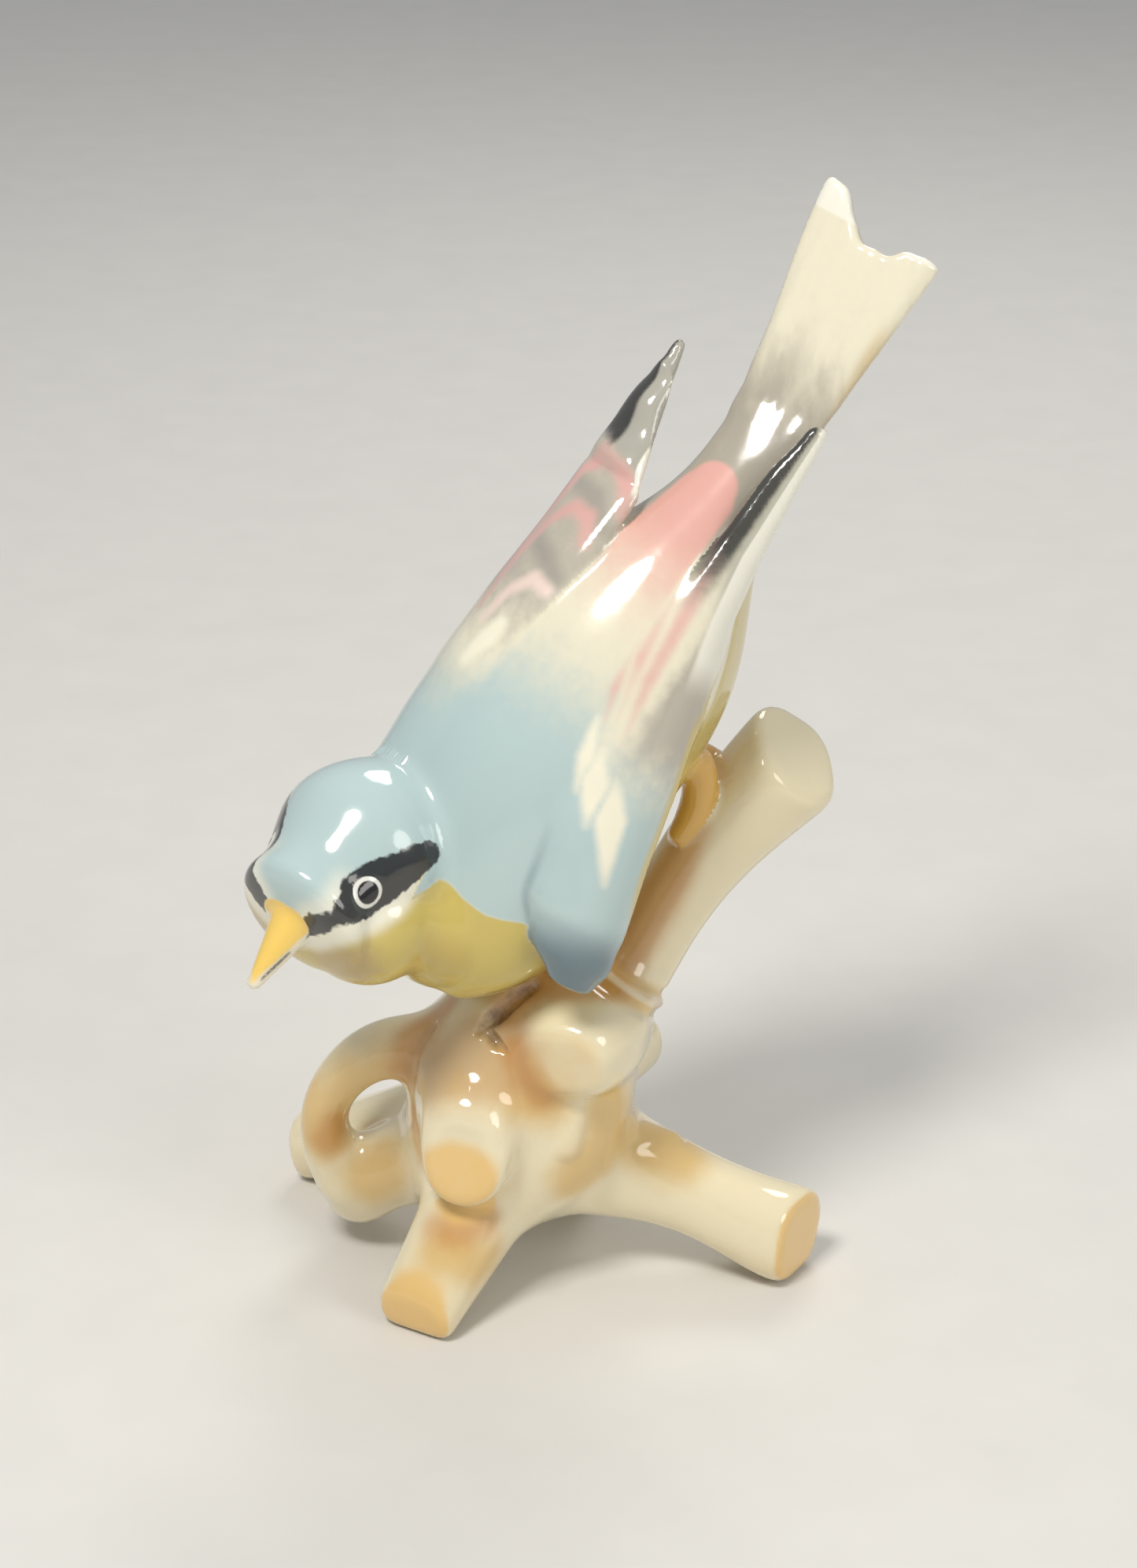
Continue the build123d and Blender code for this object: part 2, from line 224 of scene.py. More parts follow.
def soften(values, sigma):
    """Gaussian rounding of a field, as thick glaze rounds an edge."""
    reach = int(math.ceil(3 * sigma / VOXEL))
    steps = np.arange(-reach, reach + 1)
    weights = np.exp(-0.5 * (steps * VOXEL / sigma) ** 2)
    weights /= weights.sum()
    for axis in range(3):
        padded = np.pad(values, [(reach, reach) if a == axis else (0, 0) for a in range(3)], "edge")
        size = values.shape[axis]
        total = np.zeros_like(values)
        for step, weight in enumerate(weights):
            cut = [slice(None)] * 3
            cut[axis] = slice(step, step + size)
            total += np.float32(weight) * padded[tuple(cut)]
        values = total
    return values


def smooth_patch(field, place, reach, sigma):
    """Smooths a field further round one place of the bird, fading out over the reach."""
    x, y, z = place
    middle = (BIRD_CENTRE + x * FORWARD + y * LEFT + z * BACK) / VOXEL - field.low
    half = int(reach / VOXEL)
    cut = tuple(slice(m - half, m + half + 1) for m in np.round(middle).astype(int))
    steps = np.arange(-half, half + 1)
    distance = VOXEL * np.linalg.norm(np.stack(np.meshgrid(steps, steps, steps), -1), axis=-1)
    part = field.values[cut]
    weight = ramp(reach, 0.5 * reach, distance).astype(np.float32)
    field.values[cut] = part + weight * (soften(part, sigma) - part)


def skin_field(fields):
    """The whole figurine as one field: bird and stump rounded apart, then luted."""
    low = np.min([f.low for f in fields.values()], axis=0)
    high = np.max([f.low + f.shape for f in fields.values()], axis=0)
    halves = []
    for names, fillets, fillet, glaze in (
        (BIRD_NODES, BIRD_FILLETS, FOOT_FILLET, BIRD_GLAZE),
        (STUMP_NODES, {}, STUMP_FILLET, STUMP_GLAZE),
    ):
        half = Field(low, high - low, np.full(high - low, BAND * VOXEL, np.float32))
        for name in names:
            join(half, fields[name], fillets.get(name, fillet))
        half.values = soften(half.values, glaze)
        halves.append(half)
    smooth_patch(halves[0], TAIL_ROOT, TAIL_ROOT_REACH, TAIL_ROOT_ROUNDING)
    values = smooth_min(halves[0].values, halves[1].values, LUTE_FILLET)
    return Field(low, values.shape, values)


def polygonise(field):
    """Quads over the zero surface of a field: points in millimetres and vertex indices."""
    grid = vdb.FloatGrid(float(BAND * VOXEL))
    grid.copyFromArray(field.values, ijk=tuple(int(n) for n in field.low), tolerance=0)
    grid.transform = vdb.createLinearTransform(voxelSize=VOXEL)
    points, quads = grid.convertToQuads()
    return points.astype(np.float64), quads.astype(np.int64)


def outer_shell(points, quads):
    """Keeps the largest connected skin and drops sealed inner bubbles."""
    label = np.arange(len(points))
    a = quads.ravel()
    b = np.roll(quads, 1, axis=1).ravel()
    while True:
        low = np.minimum(label[a], label[b])
        before = label.copy()
        np.minimum.at(label, label[a], low)
        np.minimum.at(label, label[b], low)
        label = label[label[label]]
        if np.array_equal(before, label):
            break
    names, counts = np.unique(label, return_counts=True)
    keep = label == names[np.argmax(counts)]
    index = np.cumsum(keep) - 1
    return points[keep], index[quads[keep[quads[:, 0]]]]


# ---------------------------------------------------------------- where the paint goes
# On the head: along the beak, out from the middle plane and up to the crown.
EYE_STRIPE = [
    (16.0, 0.9, -1.2, 0.05),
    (14.2, 1.3, -0.6, 0.30),
    (12.2, 1.9, 0.5, 0.85),
    (10.6, 3.4, 2.6, 1.35),
    (8.6, 5.2, 3.8, 1.90),
    (6.4, 5.9, 4.2, 2.55),
    (4.4, 6.6, 4.4, 2.45),
    (2.2, 7.6, 4.7, 2.05),
    (0.0, 8.3, 4.8, 1.65),
    (-1.4, 8.7, 4.6, 1.35),
]
EYE = (6.0, 6.3, 4.3)
EYE_RADIUS = 1.62
EYE_RING = 0.42
MOUTH = [(13.6, 1.5, -0.9, 0.10), (15.4, 0.9, -1.5, 0.08), (17.2, 0.5, -2.1, 0.04)]
BEAK = [(11.4, 0.0, 0.9, 2.30), (13.0, 0.0, 0.0, 2.10), (18.3, 0.0, -2.7, 1.30)]
BEAK_MIDDLE = np.array((11.5, 0.0, 0.0))
BEAK_UP = np.array((0.36, 0.0, 0.93))
# In the bird's frame: the lines where blue meets yellow, then the wings' edges and marks.
CHEST_LINE_LEFT = [
    (25.4, -0.3, 11.4, 0.0),
    (26.8, 0.6, 10.7, 0.0),
    (27.4, 3.0, 9.3, 0.0),
    (27.8, 6.0, 8.4, 0.0),
    (26.8, 9.2, 7.0, 0.0),
    (24.5, 13.0, 3.5, 0.0),
]
CHEST_LINE_RIGHT = [
    (25.0, -17.2, 11.0, 0.0),
    (25.2, -16.6, 8.0, 0.0),
    (25.0, -15.0, 5.0, 0.0),
    (23.0, -13.5, 2.0, 0.0),
]
LEFT_WING_INNER = [
    (-32, 9.6, 3.9),
    (-17, 7.8, 6.6),
    (-2, 7.0, 9.2),
    (16, 7.8, 9.6),
    (30, 14.0, 4.0),
]
LEFT_WING_OUTER = [
    (-32, 11.4, 2.4),
    (-17, 11.8, 2.8),
    (-2, 13.6, 2.2),
    (16, 16.4, 1.2),
    (30, 17.2, 0.2),
]
RIGHT_WING_INNER = [
    (-32, -6.4, 3.7),
    (-16, -1.8, 7.2),
    (-2, -4.0, 10.2),
    (14, -7.0, 9.8),
    (29, -11.2, 4.2),
]
RIGHT_WING_OUTER = [
    (-32, -7.8, 2.7),
    (-16, -10.2, 2.4),
    (-2, -12.3, 1.6),
    (14, -13.9, 0.8),
    (29, -13.4, 0.8),
]
LEFT_SPOTS = [
    [(4.0, 7.0, 10.7, 0.0), (8.0, 7.9, 10.6, 0.80), (11.5, 8.6, 10.2, 0.0)],
    [(6.6, 9.0, 10.2, 0.2), (9.8, 9.9, 10.1, 1.35), (14.0, 11.0, 9.6, 0.2)],
    [(8.8, 11.5, 9.2, 0.3), (12.6, 12.9, 8.8, 1.55), (18.6, 15.0, 7.2, 0.2)],
]
RIGHT_SPOTS = [[(0.9, -7.1, 10.1, 0.75), (3.0, -7.8, 10.1, 1.05), (5.8, -8.6, 9.9, 0.60)]]
LEFT_PINK = [
    [(-6.4, 6.4, 9.6, -0.6), (0.6, 7.0, 10.4, 0.30), (6.0, 8.2, 10.4, -0.6)],
    [(-14.8, 6.9, 7.4, -0.6), (-3.5, 7.6, 9.5, 0.50), (5.8, 9.1, 10.2, -0.6)],
    [(-20.9, 8.2, 5.6, 0.2), (-9.9, 8.9, 7.8, 0.70), (-1.8, 9.4, 9.3, 0.50), (7.7, 10.6, 10.0, -0.6)],
]
RIGHT_PINK = [
    [
        (0.6, -10.9, 7.0, 0.45),
        (-5.8, -10.9, 5.2, 0.60),
        (-11.1, -10.3, 4.3, 0.65),
        (-16.4, -9.4, 4.2, 0.80),
        (-19.2, -7.4, 4.9, 1.15),
        (-18.8, -4.9, 6.1, 1.10),
        (-17.2, -3.2, 7.0, 0.85),
        (-14.6, -2.2, 7.6, 0.45),
    ],
    [
        (-1.0, -10.6, 6.9, 0.35),
        (-6.4, -10.3, 6.0, 0.50),
        (-10.6, -9.3, 6.2, 0.60),
        (-12.9, -7.3, 6.9, 0.85),
        (-12.8, -5.0, 8.0, 0.90),
        (-10.4, -3.8, 8.8, 0.60),
    ],
]
RIGHT_PALE_ARC = [
    [(1.4, -9.4, 8.6, 0.35), (-2.6, -8.3, 8.9, 0.55), (-4.7, -6.4, 9.4, 0.80), (-4.4, -4.6, 9.9, 0.60)]
]
RIGHT_SMUDGES = [
    [(-15.2, -8.3, 5.2, 0.5), (-14.8, -5.6, 6.9, 0.9), (-12.6, -3.2, 8.2, 0.6)],
    [(-8.2, -9.3, 6.9, 0.4), (-7.2, -6.6, 8.6, 0.8), (-5.8, -4.2, 9.7, 0.5)],
]
RUMP = [
    (-7.0, 2.4, 9.4, 4.6),
    (-13.0, 2.4, 7.4, 4.4),
    (-20.0, 3.2, 5.2, 3.9),
    (-21.4, 3.4, 4.6, 3.2),
]


def wing_share(points, inner, outer):
    """How far a point lies from a wing's inner edge, 0, to its outer edge, 1."""
    inner, outer = np.array(inner, float), np.array(outer, float)
    a = np.stack([np.interp(points[:, 0], inner[:, 0], inner[:, k]) for k in (1, 2)], 1)
    b = np.stack([np.interp(points[:, 0], outer[:, 0], outer[:, k]) for k in (1, 2)], 1)
    chord = b - a
    return np.sum((points[:, 1:] - a) * chord, 1) / np.sum(chord * chord, 1)


def chest_side(points):
    """Positive on the blue side of the line that runs from the stripe over the breast."""
    place = head_frame(points)
    best, offset = stroke(place, [(a, b, c, 0.0) for a, b, c, _ in EYE_STRIPE])
    side = offset @ np.array((0.0, -0.35, 0.94))
    for line in (CHEST_LINE_LEFT, CHEST_LINE_RIGHT):
        away, offset = stroke(points, line)
        nearer = away < best
        side = np.where(nearer, offset @ HEAD_C, side)
        best = np.where(nearer, away, best)
    # Behind the crown the nearest line says nothing about the side, and all of it is blue.
    nape = (place[:, 0] < -1.0) & (place[:, 2] > 1.5)
    return np.where(nape, np.abs(side) + 0.4, side)


def belongs(near, names, softness):
    """1 where the nearest node is one of the names, fading across its border."""
    inside = np.min([near[name] for name in names], axis=0)
    others = np.min([near[name] for name in near if name not in names], axis=0)
    return ramp(softness, -softness, inside - others)


class BirdSkin:
    """What the bird's paint depends on: where each vertex lies and which piece it is on."""

    def __init__(self, points, normals, near):
        self.place = bird_frame(points)
        self.x, self.y, self.z = self.place.T
        self.head = head_frame(self.place)
        self.side = chest_side(self.place)
        self.facing_back = (normals @ np.array([FORWARD, LEFT, BACK]).T)[:, 2]
        self.label = np.array(list(near))[np.argmin(list(near.values()), axis=0)]
        self.left = self.label == "left_wing"
        self.right = self.label == "right_wing"
        self.wing = self.left | self.right
        self.tail = self.label == "tail"
        self.on_wing = belongs(near, ["left_wing", "right_wing"], 0.9)
        left_share = wing_share(self.place, LEFT_WING_INNER, LEFT_WING_OUTER)
        right_share = wing_share(self.place, RIGHT_WING_INNER, RIGHT_WING_OUTER)
        self.share = np.where(self.right, right_share, np.where(self.left, left_share, 0))
        # Painted shade along the crease of left wing and body, and only where both are at hand.
        gap = np.abs(near["left_wing"] - near["bird_body"])
        self.seam = ramp(1.5, 0.0, gap) * (near["left_wing"] < 2)


def body_paint(skin):
    """Blue over the back and wings, yellow under the chest line, and its shades."""
    x = skin.x
    top = ramp(-0.35, 0.1, skin.facing_back)
    front = ramp(21, 25, x)
    blue_side = front * ramp(-0.25, 0.35, skin.side) + (1 - front) * ramp(0.5, 2.5, skin.z)
    blue = skin.on_wing * ramp(-1.0, 17.0, x) * top
    blue = blue + (1 - skin.on_wing) * blue_side * ramp(-7.0, 13.0, x)
    belly = np.where(skin.wing | skin.tail, 0, 1 - blue_side)
    belly *= ramp(-26, -18, x)
    # The left wing's flank, which faces away from the back, is yellow like the belly.
    wing_flank = skin.left * ramp(0.30, -0.05, skin.facing_back) * ramp(-12, -4, x) * ramp(24, 17, x)
    belly = np.maximum(belly, wing_flank)
    cheek = blob(skin.place, (34.8, 3.0, 7.2), 4.4, 6.0) + blob(skin.place, (33.0, -16.5, 6.0), 4.0, 6.0)
    throat = blob(skin.head, (9.6, 5.6, -3.0), 3.6, 4.5)
    return {
        "blue": blue,
        "belly": belly,
        "wing_flank": wing_flank,
        "cheek": cheek * belly,
        "throat": throat * belly,
    }


def head_paint(skin):
    """The black stripe through the eye, its white borders, and the beak."""
    head = skin.head
    stripe, _ = stroke(head, EYE_STRIPE)
    eye = np.linalg.norm(head - np.array(EYE), axis=1)
    mouth, _ = stroke(head, MOUTH)
    is_head = ramp(20, 24, skin.x) * ramp(4, 8, skin.z)
    forward = ramp(-2.0, 3.0, head[:, 0])
    white = is_head * forward * ramp(3.4, 0.4, stripe) * ramp(0.2, -0.4, skin.side)
    brow = is_head * ramp(4.0, 9.0, head[:, 0]) * ramp(2.8, 0.0, stripe) * ramp(-0.2, 0.4, skin.side) * 0.75
    beak = (1 - ramp(-0.2, 0.3, stroke(head, BEAK)[0])) * (skin.label == "bird_head")
    over = (head - BEAK_MIDDLE) @ BEAK_UP
    return {
        "white_band": np.clip(white + brow, 0, 1),
        "stripe": np.where(is_head > 0.5, stripe, UNPAINTED),
        "eye": np.where(is_head > 0.5, eye, UNPAINTED),
        "mouth": np.where(beak > 0.2, mouth, UNPAINTED),
        "beak": beak,
        "culmen": beak * ramp(0.0, 0.8, over),
    }


def wing_marks(skin):
    """The brushed marks on top of the wings; their undersides stay plain."""
    top = ramp(-0.35, 0.1, skin.facing_back)
    under = UNPAINTED * ramp(0.3, 0.0, top)
    marks = {
        "pink": LEFT_PINK + RIGHT_PINK,
        "pale_arc": RIGHT_PALE_ARC,
        "spot": LEFT_SPOTS + RIGHT_SPOTS,
        "smudge": RIGHT_SMUDGES,
    }
    return {name: strokes(skin.place, paths) + under for name, paths in marks.items()}


def wing_tones(skin, blue):
    """The greys and black tips of the wings, a grey band beside the tips, and painted shade in the left
    wing's crease.
    """
    x, left, right, share = skin.x, skin.left, skin.right, skin.share
    left_grey = ramp(12, 1, x) * ramp(0.15, 0.5, share + 0.02 * x)
    grey_wing = skin.on_wing * np.where(right, 0.85 * ramp(8, -6, x), left_grey)
    slate = np.where(left, ramp(21.0, 29.0, x + 0.25 * (skin.y - 14)), 0)
    # Painted shade: the slate darkens the blue along the crease of left wing and body, near the shoulder.
    slate = np.maximum(slate, 0.5 * skin.seam * ramp(10, 23, x) * blue)
    right_reach = ramp(-19.0, -21.5, x + 2 * (share - 0.5))
    reach = np.where(left, ramp(-6.0, -19.0, x), right_reach)
    inner_part = np.where(left, ramp(0.46, 0.20, share), ramp(0.40, 0.56, share))
    return {
        "grey_wing": grey_wing,
        "slate": slate,
        "black_tip": np.where(skin.wing, reach * inner_part, 0),
        "grey_band": np.where(skin.wing, reach * (1 - inner_part), 0),
    }


def rear_paint(skin):
    """The pale rims of wings and tail, the rose rump, and the tail's own tones."""
    x = skin.x
    wing_rim = np.where(skin.left, ramp(8, -16, x) * ramp(0.34, 0.58, skin.share), 0)
    wing_rim = np.where(skin.right, ramp(-14, -20, x) * ramp(0.10, 0.02, skin.share), wing_rim)
    tail_rim = skin.tail * ramp(-50.5, -52.5, x)
    rump, _ = stroke(skin.place, RUMP)
    return {
        "rim": np.maximum(wing_rim, tail_rim),
        "rump": ramp(0.3, -0.5, rump) * ramp(-1.0, -19.0, x) * (~skin.wing) * ramp(0.0, 2.0, skin.z),
        "tail_grey": ramp(-12.0, -19.0, x) * ramp(-44.0, -27.0, x) * (~skin.wing),
        "gold_edge": skin.tail * ramp(8.6, 10.8, skin.y) * ramp(-49, -40, x) * 0.8,
    }


def foot_paint(skin, belly):
    """The orange feet, and the pale patch of belly around them."""
    foot = (skin.label == "left_foot") | (skin.label == "right_foot")
    patch = blob(skin.place, (1.0, 13.6, -7.5), 2.6, 2.2) + blob(skin.place, (4.0, 12.0, -11.0), 2.4, 2.2)
    return {"foot": foot.astype(float), "patch": patch * belly}


def bird_paint(points, normals, near):
    """Every painted area of the bird, as one number for each vertex of its skin."""
    skin = BirdSkin(points, normals, near)
    layers = body_paint(skin)
    layers.update(head_paint(skin))
    layers.update(wing_marks(skin))
    layers.update(wing_tones(skin, layers["blue"]))
    layers.update(rear_paint(skin))
    layers.update(foot_paint(skin, layers["belly"]))
    return layers


# The stump's places: millimetres from STUMP_CENTRE. Each sawn end has its centre, the way
# it faces, how far its colour reaches and how strong the colour is.
SAWN_ENDS = [
    ((-16.9, -11.8, 1.8), (-0.48, -0.80, -0.10), 6.0, 1.0),
    ((25.9, 0.4, 5.0), (0.84, -0.54, -0.04), 7.5, 0.95),
    ((-11.9, -9.0, 17.2), (-0.22, -0.86, 0.20), 5.0, 0.9),
    ((-0.5, -7.4, 30.8), (-0.35, -0.92, -0.12), 4.5, 0.35),
    ((-24.3, 9.2, 3.2), (-0.70, 0.70, -0.10), 5.0, 0.6),
    ((-31.0, 23.6, 3.4), (-0.80, 0.56, -0.10), 5.5, 0.6),
    ((8.6, 19.6, 20.0), (0.40, 0.88, 0.25), 5.5, 0.7),
    ((0.6, 22.4, 3.0), (0.05, 0.98, -0.10), 6.0, 0.8),
]
TAN_WASHES = [
    [(4.5, -3.4, 25.2, 0.3), (4.6, -2.8, 21.4, 1.2), (8.2, 0.6, 17.0, 0.9), (12.0, 2.6, 14.4, 0.9)],
    [(1.4, -4.4, 15.6, 1.0), (3.4, -3.4, 17.6, 1.4)],
    [(-27.0, 3.4, 16.0, 0.6), (-25.4, 2.7, 20.6, 0.6), (-23.2, 2.2, 23.6, 0.5), (-19.2, 1.8, 25.0, 0.8)],
    [(-21.9, 2.6, 10.9, 0.7), (-20.4, 2.2, 12.6, 0.6)],
    [(-28.6, 4.0, 20.2, 0.8), (-28.2, 4.0, 18.0, 0.4)],
    [(-6.4, -5.2, 29.0, 0.5), (-4.4, -5.8, 26.6, 0.5), (-2.6, -6.0, 25.2, 0.3)],
    [(-13.4, -9.9, 9.0, 0.2), (-8.6, -9.6, 7.6, 0.2)],
]
BROWN_WASHES = [
    # Painted shadow under the front stub's sawn end.
    [(-15.0, -8.4, 12.2, 0.2), (-12.0, -9.6, 12.0, 0.6), (-9.0, -8.6, 12.4, 0.4)],
    [(-13.0, 2.4, 33.1, 0.1), (-15.1, 1.7, 31.0, 0.3), (-17.1, 1.0, 28.9, 0.4), (-17.8, 0.8, 25.6, 0.3)],
    [(-17.4, -1.2, 21.0, 0.1), (-17.0, -3.4, 16.4, 0.1)],
    [(-26.6, 3.6, 15.6, 0.3), (-25.6, 3.2, 17.6, 0.2)],
    # Painted shade on the trunk's top, beneath the bird's wing tip.
    [(-6.4, -2.4, 34.6, 0.5), (-3.0, -0.8, 37.2, 1.0), (1.0, -1.8, 38.4, 1.0), (4.6, -1.4, 38.0, 1.0)],
    # Along the perch's top under the belly: its own brown, and painted shade between belly and branch.
    [(6.2, 3.6, 39.2, 1.2), (8.0, 5.4, 42.4, 1.5), (10.4, 6.0, 46.8, 1.4), (12.6, 6.2, 51.6, 0.9)],
    [(-5.6, -4.8, 31.0, 0.1), (-4.4, -5.7, 28.6, 0.2), (-2.8, -5.9, 26.0, 0.2)],
]
ROSE_WASH = [(-13.4, -3.4, 28.4, 1.6), (-10.0, -4.2, 29.8, 2.2), (-6.6, -4.6, 30.6, 1.6)]
CREVICES = [
    [
        (-9.6, -2.7, 32.2, -0.10),
        (-8.4, -2.4, 33.4, 0.45),
        (-7.2, -2.1, 34.5, 0.65),
        (-5.7, -1.6, 35.7, 0.50),
        (-3.8, -1.0, 36.8, 0.20),
    ],
    [(-8.6, -3.1, 32.4, 0.30), (-7.9, -3.7, 31.6, 0.30), (-6.8, -4.4, 30.9, -0.20)],
]
PERCH_AXIS = np.array((0.564, 0.276, 0.777))
PERCH_FOOT = (6.5, 1.5, 36.5)
PALE_RING = 31.7
RING_REACH = 8.5
SAWN_DEPTH = 3.5
SAWN_SOFTNESS = 1.2
# Carving: how far each detail rises from the skin, or is cut into it.
EYE_RISE = 0.22
EYE_GROOVE = 0.10
MOUTH_GROOVE = 0.14
FEATHER_RISE = 0.07
FEATHER_TURNS = 2.4
RING_RISE = 0.35
RING_GROOVE = 0.30
CREVICE_DEPTH = 1.0
RIDGE_RISE = 0.55
CREASE_DEPTH = 0.45
RIDGES = [
    [(7.6, 1.4, 18.4, 0.2), (9.2, 3.4, 16.8, 0.3), (11.4, 4.2, 15.2, 0.2)],
    [(0.9, -5.0, 23.0, 0.2), (0.0, -5.3, 19.4, 0.2)],
]
TRUNK_CREASE = [
    (-15.1, 1.2, 31.0, 0.2),
    (-17.0, 0.4, 28.4, 0.3),
    (-17.6, -0.6, 23.0, 0.2),
    (-16.8, -3.6, 16.2, 0.1),
]


def wash(points, paths, softness):
    """Soft strokes: 1 along their middles, fading over the softness outside them."""
    return np.max([1 - ramp(-0.3, softness, stroke(points, path)[0]) for path in paths], axis=0)


def ring_height(points):
    """Height along the perch branch's axis, near its foot, else far away."""
    at_foot = np.linalg.norm(points - np.array(PERCH_FOOT), axis=1) < RING_REACH
    return np.where(at_foot, points @ PERCH_AXIS - PALE_RING, UNPAINTED)


def sawn_facets(places, normals):
    """The colour on the sawn ends, where the skin faces the way each end was cut."""
    facet = np.zeros(len(places))
    for centre, facing, reach, strength in SAWN_ENDS:
        facing = np.array(facing) / np.linalg.norm(facing)
        away = places - np.array(centre)
        height = away @ facing
        aside = np.linalg.norm(away - height[:, None] * facing, axis=1)
        flat = ramp(0.45, 0.9, normals @ facing)
        level = np.abs(height) < SAWN_DEPTH
        inside = ramp(reach + SAWN_SOFTNESS, reach - SAWN_SOFTNESS, aside)
        facet = np.maximum(facet, flat * level * inside * strength)
    return facet


def stump_paint(points, normals, near, hollow):
    """Every painted area of the stump, as one number for each vertex of its skin."""
    s = points - STUMP_CENTRE
    ring = ring_height(s)
    tan = np.maximum(wash(s, TAN_WASHES, 5.5), 0.9 * ramp(2.2, 0.6, np.abs(ring)))
    perch = belongs(near, ["perch_branch"], 1.5) * ramp(38.0, 42.0, s[:, 2])
    return {
        "facet": sawn_facets(s, normals),
        "tan": tan,
        # Brown washes; some are painted shade: under the front stub, beneath the wing tip and under the
        # belly.
        "brown": wash(s, BROWN_WASHES, 3.6),
        "rose": wash(s, [ROSE_WASH], 6.0),
        # Dark brown in the crevices: partly their own colour, partly painted shade deep in the cuts.
        "crevice": strokes(s, CREVICES),
        "pale_ring": np.abs(ring),
        "hollow": ramp(0.05, -0.35, hollow) * (1 - 0.6 * perch),
        # Tan towards the bottom: full at the floor, gone 10 mm up.
        "lower_tan": ramp(10.0, 0.0, s[:, 2]),
    }


def bird_relief(points):
    """The bird's carving: raised eye, grooved mouth and the feather lines of the tail."""
    place = bird_frame(points)
    head = head_frame(place)
    eye = np.linalg.norm(head - np.array(EYE), axis=1)
    rise = EYE_RISE * np.clip(1 - (eye / EYE_RADIUS) ** 2, 0, 1)
    rise -= EYE_GROOVE * ramp(0.5, 0.0, np.abs(eye - EYE_RADIUS))
    rise -= MOUTH_GROOVE * ramp(0.5, 0.0, stroke(head, MOUTH)[0])
    on_tail = ramp(-26, -36, place[:, 0])
    rise += FEATHER_RISE * on_tail * np.sin((place[:, 1] - 5.0) * FEATHER_TURNS)
    return rise


def stump_relief(points):
    """The stump's carving: the ring round the perch, crevices, ridges and a crease."""
    s = points - STUMP_CENTRE
    ring = np.abs(ring_height(s))
    rise = RING_RISE * ramp(0.9, 0.0, ring) - RING_GROOVE * ramp(0.9, 0.0, np.abs(ring - 1.2))
    rise -= CREVICE_DEPTH * ramp(0.9, -0.4, strokes(s, CREVICES))
    rise += RIDGE_RISE * ramp(1.8, 0.0, strokes(s, RIDGES))
    rise -= CREASE_DEPTH * ramp(1.2, 0.0, stroke(s, TRUNK_CREASE)[0])
    return rise


def relief(points):
    """How far each vertex rises along its normal, in millimetres, for the carved detail."""
    return bird_relief(points) + stump_relief(points)


# ---------------------------------------------------------------- skin into pieces
VOTING_TURNS = 40
FREE_TURNS = 6
# A cap is a shallow cone, this steep and at most this deep in millimetres.
CAP_SLOPE = 0.3
CAP_DEPTH = 1.0


def vertex_normals(points, quads):
    """Area-weighted unit normals at the vertices."""
    corner = points[quads]
    face = np.cross(corner[:, 2] - corner[:, 0], corner[:, 3] - corner[:, 1])
    total = np.zeros_like(points)
    for column in range(4):
        for axis in range(3):
            total[:, axis] += np.bincount(quads[:, column], face[:, axis], len(points))
    return total / np.maximum(np.linalg.norm(total, axis=1, keepdims=True), 1e-9)


def distances(points, fields):
    """The distance from each CAD node, where it's near, at every point.

    The glaze buries the right foot, so it claims the skin a little above it.
    """
    near = {}
    for name, field in fields.items():
        value = np.full(len(points), FAR, np.float32)
        at = points / VOXEL - field.low
        inside = np.all((at > 0) & (at < np.array(field.shape) - 1), axis=1)
        value[inside] = field.sample(points[inside])
        near[name] = value - BURIED.get(name, 0.0)
    return near


def tidy_labels(quads, label, count, vertices):
    """Majority vote among faces, until every border is a plain loop."""
    for turn in range(VOTING_TURNS):
        around = np.zeros((vertices, count), np.int16)
        for column in range(4):
            np.add.at(around, (quads[:, column], label), 1)
        votes = around[quads].sum(1)
        if turn < FREE_TURNS:
            label = votes.argmax(1)
            continue
        pinched = pinch_vertices(quads, label, vertices)
        if not pinched.any():
            break
        touched = pinched[quads].any(1)
        label = np.where(touched, votes.argmax(1), label)
        rest = pinch_vertices(quads, label, vertices)
        if rest.any():
            owner = around.argmax(1)
            for column in range(4):
                stuck = rest[quads[:, column]]
                label[stuck] = owner[quads[stuck, column]]
    return label


def rim_edges(quads):
    """Directed edges that only one of the quads uses."""
    start = quads.ravel()
    end = np.roll(quads, -1, axis=1).ravel()
    size = int(quads.max()) + 1
    forward = start * size + end
    backward = end * size + start
    lone = ~np.isin(forward, backward)
    return start[lone], end[lone]


def pinch_vertices(quads, label, vertices):
    """Vertices where one piece's border would touch itself."""
    pinched = np.zeros(vertices, bool)
    for name in np.unique(label):
        start, _ = rim_edges(quads[label == name])
        pinched |= np.bincount(start, minlength=vertices) > 1
    return pinched


def rim_loops(quads):
    """The closed borders of a piece, each as a list of vertices in order."""
    start, end = rim_edges(quads)
    after = dict(zip(start.tolist(), end.tolist()))
    loops = []
    while after:
        first, here = after.popitem()
        loop = [first]
        while here != first:
            loop.append(here)
            here = after.pop(here)
        loops.append(loop)
    return loops


def rim_caps(place, index):
    """A fan inside each border: the corners in the middle of the fans, and their faces."""
    inner = place.mean(0)
    caps = []
    faces = []
    for loop in rim_loops(index):
        middle = place[loop].mean(0)
        step = inner - middle
        reach = np.linalg.norm(place[loop] - middle, axis=1).mean()
        middle = middle + step / max(np.linalg.norm(step), 1e-6) * min(CAP_SLOPE * reach, CAP_DEPTH)
        centre = len(place) + len(caps)
        caps.append(middle)
        faces += [[loop[i], loop[i - 1], centre] for i in range(len(loop))]
    return caps, faces


